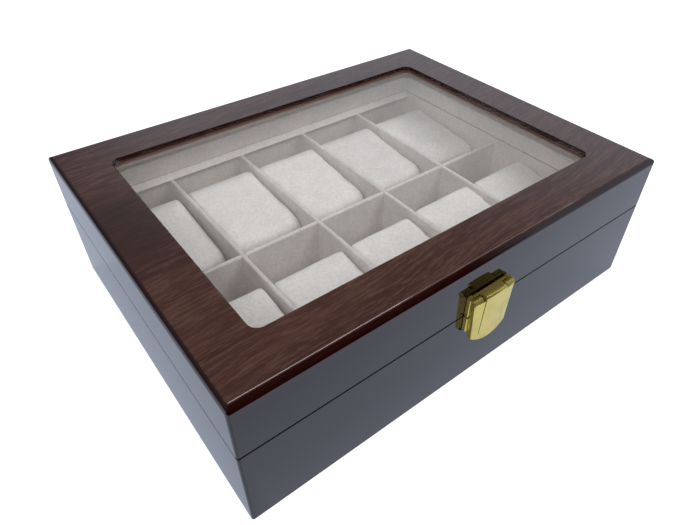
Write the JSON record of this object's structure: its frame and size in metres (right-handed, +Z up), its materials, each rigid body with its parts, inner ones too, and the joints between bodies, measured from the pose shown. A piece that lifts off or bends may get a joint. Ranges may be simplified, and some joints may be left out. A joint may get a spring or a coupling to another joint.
{
  "type": "watch display box",
  "caption": "Glass-topped wooden watch box: hinged lid with a window, brass flap latch, suede-lined compartments and a padded cushion in each.",
  "frame": {"origin": "centre of the box's footprint, on the underside of the felt", "axes": "+X along the long side, +Y from the latch to the hinges, +Z up"},
  "size_m": [0.26, 0.2106, 0.08],
  "materials": {
    "veneered_wood": "dark red-brown veneer with short light streaks, high-gloss clear lacquer",
    "plain_board": "raw fibreboard",
    "felt": "short dark felt",
    "suede_lining": "warm grey flocked suede",
    "glass": "clear float glass",
    "brass": "polished, lacquered",
    "dark_screw": "dark bronzed steel",
    "cushion_suede": "pale cream-grey suede"
  },
  "bodies": {
    "base": {"base_back_lining": "suede_lining", "base_back_wall": "veneered_wood", "base_felt_cover": "felt", "base_floor_panel": "plain_board", "base_front_lining": "suede_lining", "base_front_wall": "veneered_wood", "base_left_lining": "suede_lining", "base_left_wall": "veneered_wood", "base_right_lining": "suede_lining", "base_right_wall": "veneered_wood", "base_rim_lining": "suede_lining", "cross_divider_1": "suede_lining", "cross_divider_2": "suede_lining", "cross_divider_3": "suede_lining", "cross_divider_4": "suede_lining", "floor_lining": "suede_lining", "hinge_base_screws": "brass", "latch_base_plate": "brass", "latch_base_screws": "dark_screw", "left_hinge_base_leaf": "brass", "left_hinge_pin": "brass", "long_divider": "suede_lining", "right_hinge_base_leaf": "brass", "right_hinge_pin": "brass"},
    "lid": {"glass_pane": "glass", "glass_retainer": "suede_lining", "hinge_lid_screws": "brass", "latch_lid_plate": "brass", "latch_lid_screws": "dark_screw", "latch_pin": "brass", "left_hinge_lid_leaf": "brass", "lid_back_lining": "suede_lining", "lid_back_wall": "veneered_wood", "lid_front_lining": "suede_lining", "lid_front_wall": "veneered_wood", "lid_left_lining": "suede_lining", "lid_left_wall": "veneered_wood", "lid_right_lining": "suede_lining", "lid_right_wall": "veneered_wood", "lid_top_panel": "veneered_wood", "right_hinge_lid_leaf": "brass"},
    "flap": {"latch_flap": "brass"},
    "pad_back_1": {"cushion_back_1": "cushion_suede"},
    "pad_back_2": {"cushion_back_2": "cushion_suede"},
    "pad_back_3": {"cushion_back_3": "cushion_suede"},
    "pad_back_4": {"cushion_back_4": "cushion_suede"},
    "pad_back_5": {"cushion_back_5": "cushion_suede"},
    "pad_front_1": {"cushion_front_1": "cushion_suede"},
    "pad_front_2": {"cushion_front_2": "cushion_suede"},
    "pad_front_3": {"cushion_front_3": "cushion_suede"},
    "pad_front_4": {"cushion_front_4": "cushion_suede"},
    "pad_front_5": {"cushion_front_5": "cushion_suede"}
  },
  "joints": [
    {"name": "lid_hinge", "type": "hinge", "parent": "base", "child": "lid", "pos_m": [0, 0.1023, 0.0498], "axis": [-1, 0, 0], "range_deg": [0, 95]},
    {"name": "latch_pivot", "type": "hinge", "parent": "lid", "child": "flap", "pos_m": [0, -0.1036, 0.0594], "axis": [-1, 0, 0], "range_deg": [0, 20]},
    {"name": "pad_back_1_lift", "type": "slide", "parent": "base", "child": "pad_back_1", "axis": [0, 0, 1], "range_m": [0, 0.025]},
    {"name": "pad_back_2_lift", "type": "slide", "parent": "base", "child": "pad_back_2", "axis": [0, 0, 1], "range_m": [0, 0.025]},
    {"name": "pad_back_3_lift", "type": "slide", "parent": "base", "child": "pad_back_3", "axis": [0, 0, 1], "range_m": [0, 0.025]},
    {"name": "pad_back_4_lift", "type": "slide", "parent": "base", "child": "pad_back_4", "axis": [0, 0, 1], "range_m": [0, 0.025]},
    {"name": "pad_back_5_lift", "type": "slide", "parent": "base", "child": "pad_back_5", "axis": [0, 0, 1], "range_m": [0, 0.025]},
    {"name": "pad_front_1_lift", "type": "slide", "parent": "base", "child": "pad_front_1", "axis": [0, 0, 1], "range_m": [0, 0.025]},
    {"name": "pad_front_2_lift", "type": "slide", "parent": "base", "child": "pad_front_2", "axis": [0, 0, 1], "range_m": [0, 0.025]},
    {"name": "pad_front_3_lift", "type": "slide", "parent": "base", "child": "pad_front_3", "axis": [0, 0, 1], "range_m": [0, 0.025]},
    {"name": "pad_front_4_lift", "type": "slide", "parent": "base", "child": "pad_front_4", "axis": [0, 0, 1], "range_m": [0, 0.025]},
    {"name": "pad_front_5_lift", "type": "slide", "parent": "base", "child": "pad_front_5", "axis": [0, 0, 1], "range_m": [0, 0.025]}
  ]
}
